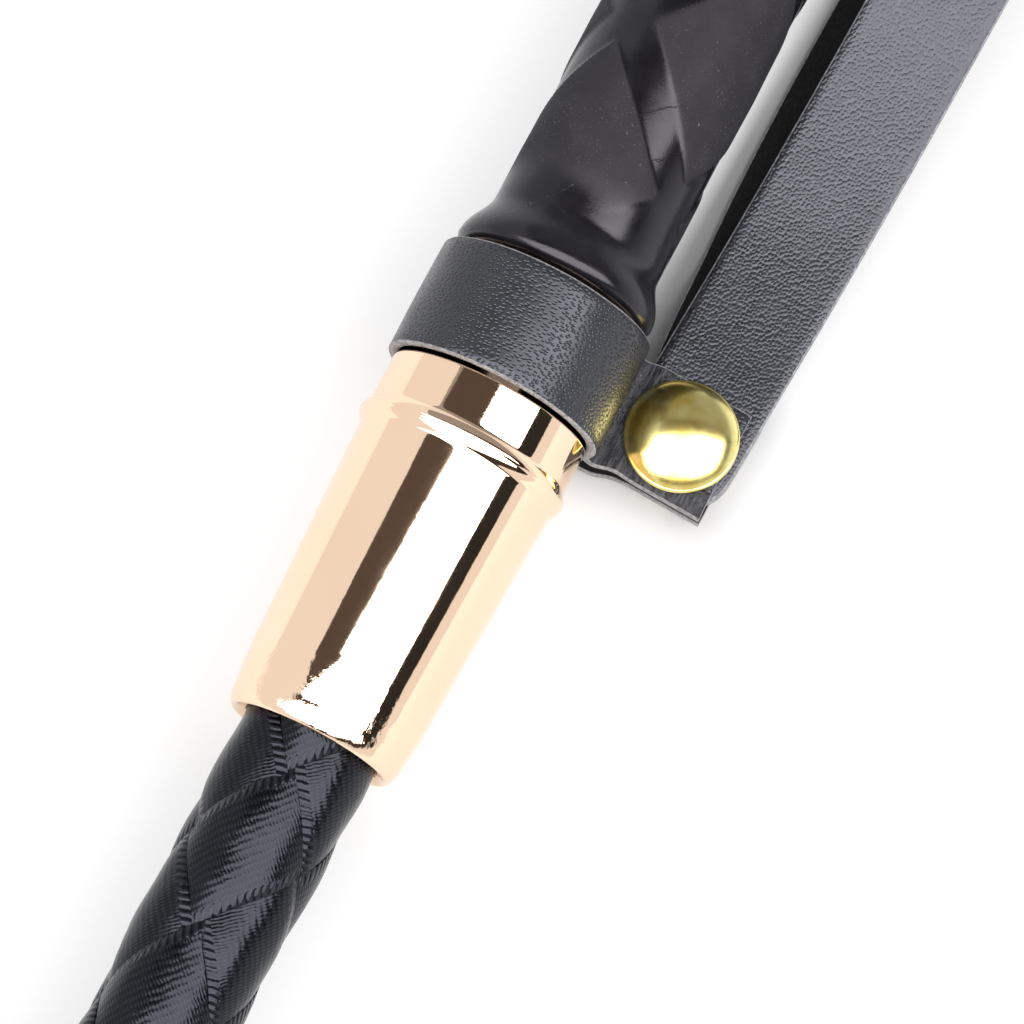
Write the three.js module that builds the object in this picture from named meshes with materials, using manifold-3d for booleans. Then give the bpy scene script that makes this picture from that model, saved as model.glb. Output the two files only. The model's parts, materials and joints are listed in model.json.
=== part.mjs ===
// Riding crop: a tapered rod in a ribbon-braided cover, a plated ferrule, a moulded rubber grip
// with a plated butt cap, a folded leather keeper at the tip, and a leather wrist loop that is
// riveted into the tab of a leather band round the ferrule's neck.
//
// Millimetres, +Z up. The crop's axis is the X axis. The origin is the centre of the butt cap's
// flat end, +X points out of the butt, and every station x on the crop is negative. The wrist
// loop lies on the -Y side, and u = -y is the distance towards it. The ground that the crop
// lies on is at z = GROUND_Z.

import * as THREE from "three";
import { mergeVertices } from "three/addons/utils/BufferGeometryUtils.js";
import Module from "manifold-3d";

const wasm = await Module();
wasm.setup();

// ---- driving dimensions ------------------------------------------------------------------

const AROUND = 36; // facets round a turned piece
const PLY_GAP = 0.15; // clearance between flat faces that would touch
const GAP = 0.3; // clearance between pieces that would touch elsewhere

const BAND = { fromX: -171, toX: -160.5, innerR: 8.95, leather: 0.9, tabEndU: 19.9, bendR: 1.7, liftR: 2 };
const GROUND_Z = -(BAND.innerR + BAND.leather);

const CAP = { mouthX: -20, r: 9.85, boreR: 8.4, endWall: 1.8, flatR: 6.2, crown: 3.4, lip: 0.6 };
const BUTT_PLUG = { fromX: -13.6, headR: 7.9, stemR: 2.4, stemFromX: -17.2 };
const CORE = { fromX: -182, shoulderX: -162, toX: -14, collarR: 7.4, tubeR: 5.4, boreR: 2.85 };
const GRIP = {
  fromX: -160.1, toX: -14, r: 7.9, boreR: 5.7,
  edgeR: 8.5, flareR: 9.3, flareEndR: 9, flareTop: 1.4, flareLength: 5.4,
};

const FERRULE = {
  mouthX: -204.1, neckEndX: -160.5, boreEndX: -183,
  mouthR: 6.85, lipR: 7.55, bodyR: 8.1, shoulderR: 8.95, lip: 0.5, edge: 1.6,
  neckR: 9.1, grooveR: 8.6, boreR: 6.6, neckBoreR: 7.7,
};
// the ferrule's raised ring
const BEAD = { x: -176.6, r: 9.6, crownR: 9.5, crownHalf: 0.7, halfWidth: 1.35, foot: 0.3 };
const BRAID = { fromX: -520, toX: -185, tipR: 4.7, r: 6.25, wall: 0.6 };
const ROD = { fromX: -531, toX: -18, tipR: 1.5, buttR: 2.5, tipEdge: 0.5 };
const WHIPPING = { fromX: -194, toX: -187, boreR: 6.27, r: 6.6 }; // binds the ribbon ends

const TIP_FERRULE = { fromX: -536, toX: -512, r: 5.9, endR: 5.2, boreR: 5.05, endHoleR: 4.2, lip: 1 };
const TAIL = { fromX: -537.4, pinchX: -535, spreadX: -531.5, toX: -522, width: 5.6 };
const BINDING = { fromX: -534, toX: -524, boreR: 4.15, r: 4.75 };
const KEEPER = { hingeX: -538, rootX: -539.6, endX: -612, leather: 1.15, leafGap: 1, sag: 1.6 };
const LEAF = {
  neckWidth: 7.6, throatX: -554, throatWidth: 12.4, flareX: -566, flareWidth: 30,
  fullX: -572, width: 32.6, corner: 6,
};

const STRAP = { leather: 0.8, width: 10.8, yaw: 3.2, endReach: 4.7, hinge: 8, hingeGap: 0.35 };
const LOOP = {
  length: 150, bendR: 10.5, groundedBy: 17, joint: 0.3, levelD: 14.3, levelRise: 0.25,
  arch: [[25, -4.2], [42, -0.9], [60, 3.7], [80, 8.1], [100, 10.6], [118, 11.4]],
};
const RIVET = {
  u: 15.3, offset: 0.5, capR: 5, seatR: 4.8, rimHeight: 0.5, domeHeight: 2.4,
  baseR: 4.6, footR: 3.6, footHeight: 0.5, baseHeight: 0.9, postR: 1.5,
};
const RIVET_X = (BAND.fromX + BAND.toX) / 2 + RIVET.offset;
const RIVET_HOLE_R = RIVET.postR + GAP;

// the rivet's stack of leather, worked upwards from the ground
const BASE_CAP_Z = GROUND_Z + PLY_GAP;
const LOWER_PLY_Z = BASE_CAP_Z + RIVET.baseHeight + PLY_GAP;
const LOWER_STRAP_Z = LOWER_PLY_Z + BAND.leather + PLY_GAP;
const UPPER_STRAP_Z = LOWER_STRAP_Z + STRAP.leather + PLY_GAP;
const UPPER_PLY_Z = UPPER_STRAP_Z + STRAP.leather + PLY_GAP;
const RIVET_CAP_Z = UPPER_PLY_Z + BAND.leather + PLY_GAP;

const ROSE_GOLD = { color: 0xf0c29a, roughness: 0.08, metalness: 1 };
const BRASS = { color: 0xd2ae45, roughness: 0.18, metalness: 1 };
const LEATHER = { color: 0x35353b, roughness: 0.5, metalness: 0 };
const RUBBER = { color: 0x302f32, roughness: 0.7, metalness: 0 };
const RIBBON = { color: 0x25262d, roughness: 0.4, metalness: 0 };
const THREAD = { color: 0x3a3a3a, roughness: 0.8, metalness: 0 };
const FIBREGLASS = { color: 0xd8d4c0, roughness: 0.4, metalness: 0 };
const FOAM = { color: 0x55555a, roughness: 0.9, metalness: 0 };
const WOOD = { color: 0xb58a5c, roughness: 0.7, metalness: 0 };
const NYLON = { color: 0xc9c5ba, roughness: 0.5, metalness: 0 };

// ---- shared shapes -----------------------------------------------------------------------

const mesh = (name, geometry, finish) => {
  const made = new THREE.Mesh(geometry, new THREE.MeshStandardMaterial(finish));
  made.name = name;
  return made;
};

const arc = (cx, cy, r, fromDeg, toDeg, steps) =>
  Array.from({ length: steps + 1 }, (_, i) => {
    const a = THREE.MathUtils.degToRad(fromDeg + ((toDeg - fromDeg) * i) / steps);
    return [cx + r * Math.cos(a), cy + r * Math.sin(a)];
  });

// A ring turned about the crop's axis. Its section is [x, radius] points that run round the
// wall: along the outside towards +X and back along the bore.
const turned = (section) => {
  const closed = [...section, section[0]].map(([x, r]) => new THREE.Vector2(r, x));
  return new THREE.LatheGeometry(closed, AROUND).rotateZ(-Math.PI / 2);
};

const tube = (fromX, toX, boreR, r) => turned([[fromX, r], [toX, r], [toX, boreR], [fromX, boreR]]);

// A solid turned about the crop's axis from [x, radius] points that start and end on the axis.
const turnedSolid = (profile) =>
  new THREE.LatheGeometry(profile.map(([x, r]) => new THREE.Vector2(r, x)), AROUND).rotateZ(-Math.PI / 2);

// A solid turned about the rivet's upright axis from [radius, z] points.
const turnedOnRivet = (profile) =>
  new THREE.LatheGeometry(profile.map(([r, z]) => new THREE.Vector2(r, z)), AROUND)
    .rotateX(Math.PI / 2)
    .translate(RIVET_X, -RIVET.u, 0);

const outline = (points) => new THREE.Shape(points.map(([a, b]) => new THREE.Vector2(a, b)));

const extrude = (points, depth) =>
  new THREE.ExtrudeGeometry(outline(points), { depth, bevelEnabled: false });

// The outline of a strip of even thickness that follows the given midline.
const strip = (midline, thickness) => {
  const side = (sign) => midline.map(([a, b], i) => {
    const [fromA, fromB] = midline[Math.max(i - 1, 0)];
    const [toA, toB] = midline[Math.min(i + 1, midline.length - 1)];
    const length = Math.hypot(toA - fromA, toB - fromB);
    const offset = (sign * thickness) / 2 / length;
    return [a - (toB - fromB) * offset, b + (toA - fromA) * offset];
  });
  return [...side(-1), ...side(1).reverse()];
};

const solidOf = (geometry) => {
  const bare = geometry.clone().deleteAttribute("normal").deleteAttribute("uv");
  const merged = mergeVertices(bare, 1e-4);
  return new wasm.Manifold(new wasm.Mesh({
    numProp: 3,
    vertProperties: merged.attributes.position.array,
    triVerts: new Uint32Array(merged.index.array),
  }));
};

const geometryOf = (solid) => {
  const { vertProperties, triVerts } = solid.getMesh();
  const made = new THREE.BufferGeometry();
  made.setAttribute("position", new THREE.BufferAttribute(new Float32Array(vertProperties), 3));
  made.setIndex(new THREE.BufferAttribute(new Uint32Array(triVerts), 1));
  return made.toNonIndexed();
};

const rivetHole = () =>
  solidOf(new THREE.CylinderGeometry(RIVET_HOLE_R, RIVET_HOLE_R, RIVET_CAP_Z - GROUND_Z, AROUND)
    .rotateX(Math.PI / 2)
    .translate(RIVET_X, -RIVET.u, (RIVET_CAP_Z + GROUND_Z) / 2));

const withRivetHole = (geometry) => geometryOf(solidOf(geometry).subtract(rivetHole()));

// ---- rod and braided shaft ---------------------------------------------------------------

const along = (x, from, to) => (x - from) / (to - from);
const braidR = (x) =>
  THREE.MathUtils.lerp(BRAID.tipR, BRAID.r, Math.min(along(x, BRAID.fromX, FERRULE.mouthX), 1));
const rodR = (x) => THREE.MathUtils.lerp(ROD.tipR, ROD.buttR, along(x, ROD.fromX, ROD.toX));

const rod = () => turnedSolid([
  [ROD.fromX, 0], [ROD.fromX, ROD.tipR - ROD.tipEdge], [ROD.fromX + ROD.tipEdge, ROD.tipR],
  [ROD.toX, ROD.buttR], [ROD.toX, 0],
]);

const shaftLayer = (outerR, innerR) => {
  const stations = [BRAID.fromX, FERRULE.mouthX, BRAID.toX];
  return turned([
    ...stations.map((x) => [x, outerR(x)]),
    ...stations.reverse().map((x) => [x, innerR(x)]),
  ]);
};

const braidedCover = () => shaftLayer(braidR, (x) => braidR(x) - BRAID.wall);
const padding = () => shaftLayer((x) => braidR(x) - BRAID.wall - GAP, (x) => rodR(x) + GAP);

// ---- ferrule -----------------------------------------------------------------------------

const ferrule = () => {
  const { mouthX, mouthR, lip, lipR, edge, bodyR, shoulderR, neckR, grooveR, neckEndX } = FERRULE;
  const { x, r, crownR, crownHalf, halfWidth, foot } = BEAD;
  return turned([
    [mouthX, mouthR], [mouthX + lip, lipR], [mouthX + edge, bodyR],
    [x - halfWidth - foot, shoulderR], [x - crownHalf, crownR], [x, r], [x + crownHalf, crownR],
    [x + halfWidth, neckR], [BAND.fromX - GAP, neckR], [BAND.fromX - GAP, grooveR], [neckEndX, grooveR],
    [neckEndX, FERRULE.neckBoreR], [FERRULE.boreEndX, FERRULE.neckBoreR],
    [FERRULE.boreEndX, FERRULE.boreR], [mouthX, FERRULE.boreR],
  ]);
};

const whipping = () => tube(WHIPPING.fromX, WHIPPING.toX, WHIPPING.boreR, WHIPPING.r);

// ---- grip and butt -----------------------------------------------------------------------

const gripCore = () => turned([
  [CORE.fromX, CORE.collarR], [CORE.shoulderX, CORE.collarR], [CORE.shoulderX, CORE.tubeR],
  [CORE.toX, CORE.tubeR], [CORE.toX, CORE.boreR], [CORE.fromX, CORE.boreR],
]);

const rubberGrip = () => turned([
  [GRIP.fromX, GRIP.edgeR], [GRIP.fromX + GRIP.flareTop, GRIP.flareR],
  [GRIP.fromX + 2 * GRIP.flareTop, GRIP.flareEndR], [GRIP.fromX + GRIP.flareLength, GRIP.r],
  [GRIP.toX, GRIP.r], [GRIP.toX, GRIP.boreR], [GRIP.fromX, GRIP.boreR],
]);

const buttCap = () => {
  const crownX = -CAP.crown;
  const crown = arc(crownX, CAP.flatR, CAP.crown, 90, 0, 6);
  const side = [[CAP.mouthX, CAP.r - CAP.lip], [CAP.mouthX + CAP.lip, CAP.r]];
  return turnedSolid([
    [-CAP.endWall, 0], [-CAP.endWall, CAP.boreR], [CAP.mouthX, CAP.boreR],
    ...side, ...crown, [0, 0],
  ]);
};

const buttPlug = () => turnedSolid([
  [BUTT_PLUG.stemFromX, 0], [BUTT_PLUG.stemFromX, BUTT_PLUG.stemR], [BUTT_PLUG.fromX, BUTT_PLUG.stemR],
  [BUTT_PLUG.fromX, BUTT_PLUG.headR], [-CAP.endWall - GAP, BUTT_PLUG.headR], [-CAP.endWall - GAP, 0],
]);

// ---- tip and keeper ----------------------------------------------------------------------

const tipFerrule = () => {
  const { fromX, toX, r, endR, boreR, endHoleR, lip } = TIP_FERRULE;
  return turned([
    [fromX, endR], [fromX + lip, r], [toX - lip, r], [toX, r - lip / 2],
    [toX, boreR], [fromX + lip, boreR], [fromX + lip, endHoleR], [fromX, endHoleR],
  ]);
};

const keeperBinding = () => tube(BINDING.fromX, BINDING.toX, BINDING.boreR, BINDING.r);

// A plate of the given side outline, [x, z], centred on the crop's axis.
const sidePlate = (points, width) =>
  extrude(points, width).rotateX(Math.PI / 2).translate(0, width / 2, 0);

const leafPlyZ = (KEEPER.leafGap + KEEPER.leather) / 2; // midline height of one ply off the axis
const tailZ = ROD.tipR + GAP / 2 + KEEPER.leather / 2;

const keeperTail = (side) => sidePlate(strip([
  [TAIL.fromX, side * leafPlyZ], [TAIL.pinchX, side * leafPlyZ],
  [TAIL.spreadX, side * tailZ], [TAIL.toX, side * tailZ],
], KEEPER.leather), TAIL.width);

// The leaf is one strip folded back on itself at its far end, curving down to the ground.
const keeperLeaf = () => {
  const foldR = leafPlyZ;
  const foldX = KEEPER.endX + foldR + KEEPER.leather / 2;
  const drop = -GROUND_Z - foldR - KEEPER.leather / 2;
  const dropAt = (x) => -drop * along(x, KEEPER.rootX, foldX) ** KEEPER.sag;
  const stations = Array.from({ length: 13 }, (_, i) =>
    THREE.MathUtils.lerp(KEEPER.rootX, foldX, i / 12));
  const ply = (side) => stations.map((x) => [x, dropAt(x) + side * leafPlyZ]);
  const fold = arc(foldX, -drop, foldR, 90, 270, 8).slice(1, -1);
  const midline = [...ply(1), ...fold, ...ply(-1).reverse()];
  const folded = sidePlate(strip(midline, KEEPER.leather), LEAF.width + GAP);
  const half = [
    [KEEPER.rootX, LEAF.neckWidth / 2], [LEAF.throatX, LEAF.throatWidth / 2],
    [LEAF.flareX, LEAF.flareWidth / 2], [LEAF.fullX, LEAF.width / 2],
    ...arc(KEEPER.endX + LEAF.corner, LEAF.width / 2 - LEAF.corner, LEAF.corner, 90, 180, 5),
  ];
  const mirrored = half.map(([x, y]) => [x, -y]).reverse();
  const plan = extrude([...half, ...mirrored], -3 * GROUND_Z).translate(0, 0, 2 * GROUND_Z);
  return geometryOf(solidOf(folded).intersect(solidOf(plan)));
};

// ---- neck band and rivet -----------------------------------------------------------------

// The band's midline in the u-z plane: out of the tab's upper ply, round the neck and back
// into the lower ply. Each ply meets the ring in a bend that is tangent to both.
const bandMidline = () => {
  const ringR = BAND.innerR + BAND.leather / 2;
  const upperZ = UPPER_PLY_Z + BAND.leather / 2;
  const lowerZ = LOWER_PLY_Z + BAND.leather / 2;
  const deg = THREE.MathUtils.radToDeg;
  const bendCentre = (z, r) => [Math.sqrt((ringR + r) ** 2 - z ** 2), z];
  const [upperU, upperCentreZ] = bendCentre(upperZ + BAND.bendR, BAND.bendR);
  const [lowerU, lowerCentreZ] = bendCentre(lowerZ - BAND.liftR, BAND.liftR);
  const upperAt = deg(Math.atan2(upperCentreZ, upperU));
  const lowerAt = deg(Math.atan2(lowerCentreZ, lowerU));
  return [
    [BAND.tabEndU, upperZ],
    ...arc(upperU, upperCentreZ, BAND.bendR, 270, 180 + upperAt, 5),
    ...arc(0, 0, ringR, upperAt, 360 + lowerAt, 34).slice(1, -1),
    ...arc(lowerU, lowerCentreZ, BAND.liftR, 180 + lowerAt, 90, 5),
    [BAND.tabEndU, lowerZ],
  ];
};

const neckBand = () => withRivetHole(
  extrude(strip(bandMidline(), BAND.leather), BAND.toX - BAND.fromX)
    .rotateX(Math.PI / 2)
    .rotateZ(-Math.PI / 2)
    .translate(BAND.toX, 0, 0),
);

const rivetCap = () => {
  const { capR, seatR, rimHeight, domeHeight, postR } = RIVET;
  const dome = Array.from({ length: 7 }, (_, i) => {
    const a = (i / 6) * (Math.PI / 2);
    return [capR * Math.cos(a), RIVET_CAP_Z + rimHeight + (domeHeight - rimHeight) * Math.sin(a)];
  });
  const postFoot = BASE_CAP_Z + RIVET.baseHeight + PLY_GAP / 2;
  dome[dome.length - 1][0] = 0;
  return turnedOnRivet([
    [0, postFoot], [postR, postFoot], [postR, RIVET_CAP_Z], [seatR, RIVET_CAP_Z], ...dome,
  ]);
};

const rivetBase = () => {
  const top = BASE_CAP_Z + RIVET.baseHeight;
  return turnedOnRivet([
    [0, BASE_CAP_Z], [RIVET.footR, BASE_CAP_Z], [RIVET.baseR, BASE_CAP_Z + RIVET.footHeight],
    [RIVET.baseR, top], [0, top],
  ]);
};

// ---- wrist loop --------------------------------------------------------------------------

// The strap is drawn from the rivet outwards: d is the distance along it, z its height.
const layAlongStrap = (geometry) => geometry
  .rotateZ(THREE.MathUtils.degToRad(-STRAP.yaw))
  .translate(RIVET_X, -RIVET.u, 0);

const strapPiece = (midline) => layAlongStrap(sidePlate(strip(midline, STRAP.leather), STRAP.width));

// The strap's end under the tab, rounded about the rivet so that it can swivel.
const strapEnd = (z) => {
  const half = STRAP.width / 2;
  const hingeD = STRAP.hinge - STRAP.hingeGap;
  const round = arc(0, 0, 1, 90, 270, 18).map(([d, w]) => [d * STRAP.endReach, w * half]);
  return withRivetHole(layAlongStrap(
    extrude([[hingeD, -half], [hingeD, half], ...round], STRAP.leather).translate(0, 0, z)));
};

const LOOP_START = STRAP.hinge + STRAP.hingeGap;
const LOWER_LEG_Z = GROUND_Z + STRAP.leather / 2;
const UPPER_LEG_END_Z = LOWER_LEG_Z + 2 * LOOP.bendR;

const spline = (points, steps) =>
  new THREE.SplineCurve(points.map(([d, z]) => new THREE.Vector2(d, z)))
    .getPoints(steps).map(({ x, y }) => [x, y]);

const lowerLeg = () => {
  const startZ = LOWER_STRAP_Z + STRAP.leather / 2;
  const fall = Array.from({ length: 9 }, (_, i) => {
    const t = i / 8;
    return [LOOP_START + (LOOP.groundedBy - LOOP_START) * t,
      THREE.MathUtils.lerp(startZ, LOWER_LEG_Z, THREE.MathUtils.smoothstep(t, 0, 1))];
  });
  return strapPiece([...fall, [LOOP.length - LOOP.joint, LOWER_LEG_Z]]);
};

const upperLeg = () => {
  const startZ = UPPER_STRAP_Z + STRAP.leather / 2;
  const rise = spline([
    [LOOP_START, startZ], [LOOP.levelD, startZ + LOOP.levelRise], ...LOOP.arch,
    [LOOP.length - LOOP.joint, UPPER_LEG_END_Z],
  ], 28);
  return strapPiece(rise);
};

const loopBend = () => strapPiece(arc(LOOP.length, LOWER_LEG_Z + LOOP.bendR, LOOP.bendR, -90, 90, 16));

// ---- the crop ----------------------------------------------------------------------------

const crop = new THREE.Group();
crop.add(
  mesh("core_rod", rod(), FIBREGLASS),
  mesh("shaft_padding", padding(), FOAM),
  mesh("braided_cover", braidedCover(), RIBBON),
  mesh("cover_whipping", whipping(), THREAD),
  mesh("ferrule", ferrule(), ROSE_GOLD),
  mesh("grip_core", gripCore(), WOOD),
  mesh("rubber_grip", rubberGrip(), RUBBER),
  mesh("butt_plug", buttPlug(), NYLON),
  mesh("butt_cap", buttCap(), ROSE_GOLD),
  mesh("tip_ferrule", tipFerrule(), ROSE_GOLD),
  mesh("keeper_binding", keeperBinding(), THREAD),
  mesh("keeper_tail_upper", keeperTail(1), LEATHER),
  mesh("keeper_tail_lower", keeperTail(-1), LEATHER),
  mesh("keeper_leaf", keeperLeaf(), LEATHER),
  mesh("neck_band", neckBand(), LEATHER),
  mesh("rivet_cap", rivetCap(), BRASS),
  mesh("rivet_base", rivetBase(), BRASS),
  mesh("strap_end_upper", strapEnd(UPPER_STRAP_Z), LEATHER),
  mesh("strap_end_lower", strapEnd(LOWER_STRAP_Z), LEATHER),
  mesh("wrist_loop_upper", upperLeg(), LEATHER),
  mesh("wrist_loop_lower", lowerLeg(), LEATHER),
  mesh("wrist_loop_bend", loopBend(), LEATHER),
);

export default crop;
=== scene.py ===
"""Looks of a riding crop: braided shaft, plated ferrule, rubber grip, leather wrist loop and keeper.

All shapes are worked out in millimetres and stored in metres. x runs along the crop's axis
towards the butt. A point on the crop is given by its station x, its radius and its turn, the
angle round the axis in radians: 0 is the top, and it grows towards the wrist loop (-Y).
"""
import json

import bpy
import numpy as np
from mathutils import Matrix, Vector


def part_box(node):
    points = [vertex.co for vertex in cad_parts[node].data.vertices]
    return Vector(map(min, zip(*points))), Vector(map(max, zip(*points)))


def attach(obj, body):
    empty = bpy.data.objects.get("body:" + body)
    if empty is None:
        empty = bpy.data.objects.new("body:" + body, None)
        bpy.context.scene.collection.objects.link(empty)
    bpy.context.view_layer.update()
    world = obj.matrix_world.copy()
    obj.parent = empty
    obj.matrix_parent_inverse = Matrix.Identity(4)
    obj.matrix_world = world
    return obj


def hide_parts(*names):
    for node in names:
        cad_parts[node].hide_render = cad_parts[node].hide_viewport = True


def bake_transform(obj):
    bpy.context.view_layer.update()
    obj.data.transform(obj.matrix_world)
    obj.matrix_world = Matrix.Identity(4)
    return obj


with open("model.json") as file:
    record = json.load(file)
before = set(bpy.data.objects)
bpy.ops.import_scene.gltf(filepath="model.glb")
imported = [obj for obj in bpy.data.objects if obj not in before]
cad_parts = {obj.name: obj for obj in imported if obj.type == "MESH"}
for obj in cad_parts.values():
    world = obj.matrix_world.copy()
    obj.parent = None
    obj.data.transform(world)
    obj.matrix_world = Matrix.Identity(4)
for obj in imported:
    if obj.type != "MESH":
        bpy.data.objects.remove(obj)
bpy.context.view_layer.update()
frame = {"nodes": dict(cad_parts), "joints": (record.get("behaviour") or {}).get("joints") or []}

MM = 0.001
SEED = 7

# ---- places taken from the frame -----------------------------------------------------------


def corners(node):
    """The lowest and highest corner of a CAD node, in millimetres."""
    low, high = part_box(node)
    return np.array(low) / MM, np.array(high) / MM


FERRULE_LOW, FERRULE_HIGH = corners("ferrule")
BAND_LOW, BAND_HIGH = corners("neck_band")
GRIP_LOW, GRIP_HIGH = corners("rubber_grip")
CAP_LOW, CAP_HIGH = corners("butt_cap")
COVER_LOW, COVER_HIGH = corners("braided_cover")
TIP_LOW, TIP_HIGH = corners("tip_ferrule")
LEAF_LOW, LEAF_HIGH = corners("keeper_leaf")
TAIL_LOW, TAIL_HIGH = corners("keeper_tail_upper")
RIVET_LOW, RIVET_HIGH = corners("rivet_cap")
BASE_LOW, BASE_HIGH = corners("rivet_base")
ROOT_UP_LOW, ROOT_UP_HIGH = corners("strap_end_upper")
ROOT_DOWN_LOW, ROOT_DOWN_HIGH = corners("strap_end_lower")
BEND_LOW, BEND_HIGH = corners("wrist_loop_bend")

GROUND_Z = BAND_LOW[2]
MOUTH_X = FERRULE_LOW[0]
RIVET_X = (RIVET_LOW[0] + RIVET_HIGH[0]) / 2
RIVET_U = -(RIVET_LOW[1] + RIVET_HIGH[1]) / 2
HINGES = {joint["name"]: np.array(joint["pos_m"]) / MM for joint in frame["joints"] if "pos_m" in joint}

# ---- mesh making ---------------------------------------------------------------------------


def ring_points(x, radius, turn):
    """Points at stations x, radii and turns about the crop's axis."""
    x, radius, turn = np.broadcast_arrays(x, radius, turn)
    return np.stack([x, -radius * np.sin(turn), radius * np.cos(turn)], axis=-1)


def smooth(t):
    """Eases from 0 to 1 as t goes from 0 to 1: 3t^2 - 2t^3."""
    t = np.clip(t, 0.0, 1.0)
    return t * t * (3 - 2 * t)


def ripples(a, b, wavelength, seed, waves=7):
    """Uneven swell between about -1 and 1: a sum of sines of mixed directions and lengths."""
    rng = np.random.default_rng(SEED + seed)
    total = np.zeros(np.broadcast(a, b).shape)
    for heading, phase, stretch in rng.random((waves, 3)):
        heading, k = heading * np.pi, 2 * np.pi / (wavelength * (0.6 + 0.9 * stretch))
        total += np.sin(k * (a * np.cos(heading) + b * np.sin(heading)) + 2 * np.pi * phase)
    return total / np.sqrt(waves * 2)


def grid_object(name, points, u=None, v=None, wrap_rows=False, wrap_columns=True, capped=False,
                rim_columns=(), under_columns=()):
    """Joins a grid of points (rows, columns, 3), in mm, into one closed mesh with its faces outwards.

    u and v give the UV map's values, in mm, for the rows and columns. The ends are closed by flat
    faces when capped is set. Faces that start in rim_columns take the second material slot, and
    those that start in under_columns the third.
    """
    rows, columns = points.shape[:2]
    row_steps = rows if wrap_rows else rows - 1
    column_steps = columns if wrap_columns else columns - 1
    i, j = np.meshgrid(np.arange(row_steps), np.arange(column_steps), indexing="ij")
    i, j = i.ravel(), j.ravel()
    next_i, next_j = (i + 1) % rows, (j + 1) % columns
    row, next_row = i * columns, next_i * columns
    quads = np.stack([row + j, next_row + j, next_row + next_j, row + next_j], 1)
    flat = points.reshape(-1, 3)
    first, second, third, fourth = (flat[quads[:, k]] for k in range(4))
    volume = np.sum(np.cross(second - first, third - first) * first)
    volume += np.sum(np.cross(third - first, fourth - first) * first)
    outward = volume > 0
    faces = (quads if outward else quads[:, ::-1]).tolist()
    rim = (np.isin(j, rim_columns) + 2 * np.isin(j, under_columns)).astype(np.int32).tolist()
    if capped:
        start = list(range(columns))
        end = [(rows - 1) * columns + k for k in range(columns)]
        faces += [start, end[::-1]] if outward else [start[::-1], end]
        rim += [1, 1]
    mesh = bpy.data.meshes.new(name)
    mesh.from_pydata((flat * MM).tolist(), [], faces)
    if u is not None:
        corner_u = np.stack([u[i], u[i + 1], u[i + 1], u[i]], 1)
        corner_v = np.stack([v[j], v[j], v[j + 1], v[j + 1]], 1)
        corner = np.stack([corner_u, corner_v], 2) * MM
        corner = corner if outward else corner[:, ::-1]
        layer = mesh.uv_layers.new(name="along")
        values = np.zeros((len(mesh.loops), 2))
        values[: corner.shape[0] * 4] = corner.reshape(-1, 2)
        layer.uv.foreach_set("vector", values.ravel())
    mesh.polygons.foreach_set("material_index", rim if rim_columns else [0] * len(faces))
    mesh.polygons.foreach_set("use_smooth", [True] * len(quads) + [False] * (len(faces) - len(quads)))
    mesh.update()
    made = bpy.data.objects.new(name, mesh)
    bpy.context.scene.collection.objects.link(made)
    return made


def turned_object(name, profile, around=192):
    """A profile of (x, radius) pairs, running round a closed wall section, turned about the axis."""
    profile = np.array(profile)
    turn = np.linspace(0, 2 * np.pi, around, endpoint=False)
    return grid_object(name, ring_points(profile[:, :1], profile[:, 1:], turn), wrap_rows=True)


def upright_object(name, profile, centre, around=128):
    """A profile of (radius, z) pairs from pole to pole, turned about an upright axis."""
    profile = np.array(profile)
    turn = np.linspace(0, 2 * np.pi, around, endpoint=False)
    radius, height = profile[:, :1], profile[:, 1:]
    points = np.stack([centre[0] + radius * np.cos(turn), centre[1] + radius * np.sin(turn),
                       height + 0 * turn], axis=-1)
    return grid_object(name, points, capped=True)


def strap_section(half_width, thickness, across=14, corner=0.12):
    """A flat strap's section as (w, h) pairs: along the top, down the edge, back and up again.

    Also gives the columns of faces on its cut edges and those on its under side.
    """
    w = np.linspace(-half_width + corner, half_width - corner, across)
    top = thickness / 2
    side = top - corner
    right = [(half_width, side), (half_width, -side)]
    left = [(-half_width, -side), (-half_width, side)]
    points = [(a, top) for a in w] + right + [(a, -top) for a in w[::-1]] + left
    rim = [across - 1, across, across + 1, 2 * across + 1, 2 * across + 2, 2 * across + 3]
    under = list(range(across + 2, 2 * across + 1))
    return np.array(points), rim, under


def path_frames(path):
    """Unit tangents of a path (n, 3) and the distance along it."""
    step = np.gradient(path, axis=0)
    tangent = step / np.linalg.norm(step, axis=1, keepdims=True)
    length = np.concatenate([[0], np.cumsum(np.linalg.norm(np.diff(path, axis=0), axis=1))])
    return tangent, length


def strap_object(name, path, lateral, half_width, thickness, lift=None, bend=None):
    """A flat strap carried along a path: each section lies in the plane of the lateral and its normal.

    half_width may change along the path. lift(s, w) moves the strap along its normal, in mm, and
    bend(points) moves its finished points.
    """
    section, rim, under = strap_section(5.0, thickness)
    w_share = section[:, 0] / 5.0
    tangent, s = path_frames(path)
    lateral = np.broadcast_to(lateral, path.shape)
    lateral = lateral - tangent * np.sum(lateral * tangent, axis=1, keepdims=True)
    lateral = lateral / np.linalg.norm(lateral, axis=1, keepdims=True)
    normal = np.cross(tangent, lateral)
    w = w_share[None, :] * np.broadcast_to(half_width, s.shape)[:, None]
    h = section[None, :, 1] + (lift(s[:, None], w) if lift else 0)
    points = path[:, None] + lateral[:, None] * w[..., None] + normal[:, None] * h[..., None]
    points = bend(points) if bend else points
    v = np.append(section[:, 0], section[0, 0])
    return grid_object(name, points, u=s, v=v, capped=True, rim_columns=rim, under_columns=under)


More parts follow.
